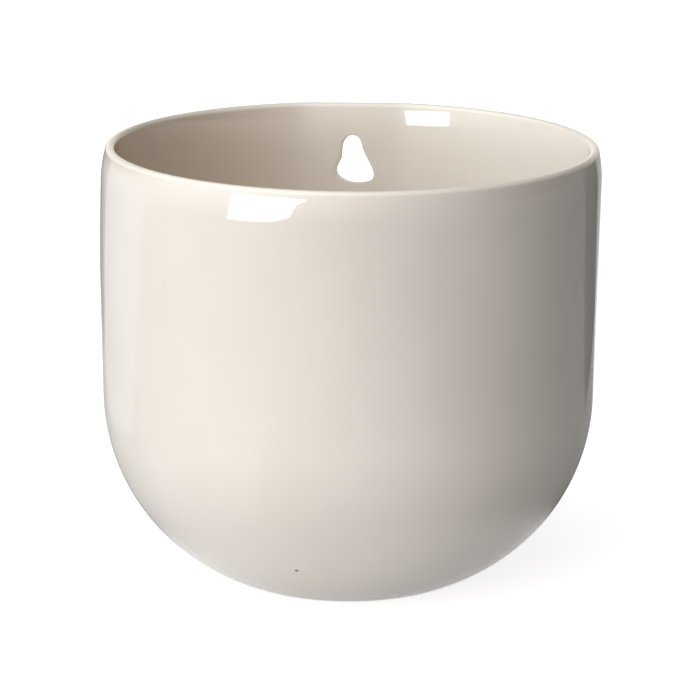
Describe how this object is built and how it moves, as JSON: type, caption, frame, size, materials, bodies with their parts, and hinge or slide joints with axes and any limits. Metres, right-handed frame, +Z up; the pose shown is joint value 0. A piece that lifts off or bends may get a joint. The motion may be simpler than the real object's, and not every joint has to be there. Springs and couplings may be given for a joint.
{
  "type": "wall planter",
  "caption": "Round-bottomed glazed ceramic wall planter with a flattened back, a keyhole under the lip and a small flat foot.",
  "frame": {"origin": "centre of the foot, on the plane that the foot stands on, where the pot's axis meets it", "axes": "+Z up along the pot's axis, +Y out of the flat back towards the wall, +X to the right of someone who faces the pot on its wall"},
  "size_m": [0.1498, 0.1479, 0.13],
  "materials": {
    "glaze": "clear gloss glaze over a warm off-white, the ring of the foot bare and matt"
  },
  "bodies": {
    "root": {"pot": "glaze"}
  },
  "joints": []
}
